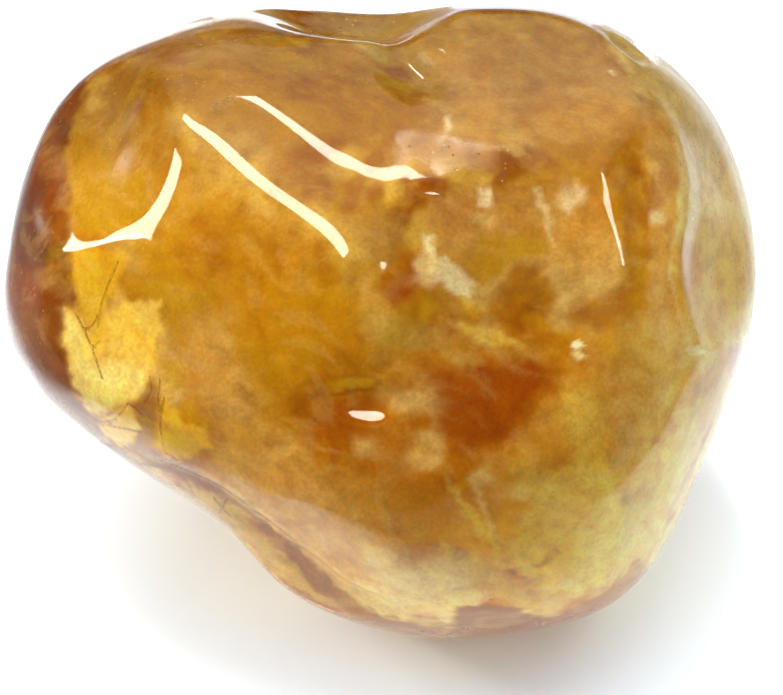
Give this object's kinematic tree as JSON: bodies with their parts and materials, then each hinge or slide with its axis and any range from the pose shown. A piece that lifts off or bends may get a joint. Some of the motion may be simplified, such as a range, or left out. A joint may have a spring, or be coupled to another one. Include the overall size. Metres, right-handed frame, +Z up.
{
  "type": "tumbled stone",
  "caption": "Tumbled honey-coloured quartz pebble, polished and partly clear, with soft lobes and a small flat it rests on.",
  "frame": {"origin": "middle of the stone's box on the flat ground it rests on", "axes": "+X to the viewer's right along the longest side, -Y towards the viewer, +Z up from the flat it rests on"},
  "size_m": [0.0302, 0.0284, 0.0225],
  "materials": {
    "honey_quartz": "tumble-polished natural quartz, cloudy with clear amber windows"
  },
  "bodies": {
    "root": {"stone": "honey_quartz"}
  },
  "joints": []
}
